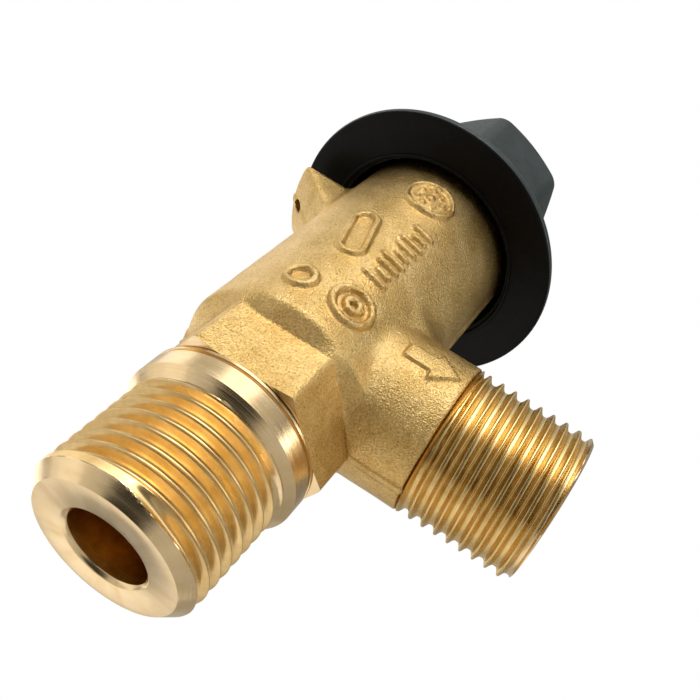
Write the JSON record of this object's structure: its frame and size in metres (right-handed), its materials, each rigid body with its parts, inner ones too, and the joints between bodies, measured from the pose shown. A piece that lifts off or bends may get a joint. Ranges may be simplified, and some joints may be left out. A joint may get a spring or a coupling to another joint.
{
  "type": "pressure relief valve",
  "caption": "Spring-loaded brass angle relief valve with male pipe threads, a hexagon, a cast barrel with a seal-wire lug and a flanged plastic twist knob that lifts the disc.",
  "frame": {"origin": "centre of the inlet end face, where the valve meets the pipe it is screwed to", "axes": "+Z along the inlet, barrel and knob, from the inlet towards the knob; +X along the outlet branch, away from the barrel; the flow arrow and raised marks face -Y"},
  "size_m": [0.0573, 0.0424, 0.0961],
  "materials": {
    "cast_brass": "blasted forging with bright machined threads",
    "machined_brass": "turned",
    "grey_plastic": "satin moulded, dark slate grey",
    "steel": "zinc plated",
    "spring_steel": "drawn wire",
    "black_rubber": "moulded"
  },
  "bodies": {
    "housing": {"valve_body": "cast_brass", "diaphragm": "black_rubber", "diaphragm_clamp_ring": "machined_brass", "pressure_spring": "spring_steel", "upper_spring_plate": "steel", "adjusting_nut": "machined_brass", "lock_ring": "machined_brass", "cam_ring": "machined_brass"},
    "stem_assembly": {"seat_seal": "black_rubber", "seal_washer": "steel", "seal_screw": "steel", "disc_holder": "machined_brass", "diaphragm_plate": "steel", "diaphragm_nut": "steel", "stem": "steel", "lower_spring_plate": "steel", "spring_plate_clip": "steel", "knob_washer": "steel", "knob_screw": "steel"},
    "knob_assembly": {"knob": "grey_plastic", "knob_insert": "machined_brass", "knob_cap": "grey_plastic"}
  },
  "joints": [
    {"name": "stem_lift", "type": "slide", "parent": "housing", "child": "stem_assembly", "axis": [0, 0, 1], "range_m": [0, 0.002], "deforming": ["pressure_spring", "diaphragm"]},
    {"name": "knob_twist", "type": "hinge", "parent": "stem_assembly", "child": "knob_assembly", "pos_m": [0, 0, 0.0786], "axis": [0, 0, 1], "range_deg": [0, 60], "stiffness_Nm_per_rad": 0.03, "springref_deg": -148.97}
  ],
  "couplings": [
    {"joint": "knob_twist", "follows": "stem_lift", "rad_per_m": 523.59}
  ]
}
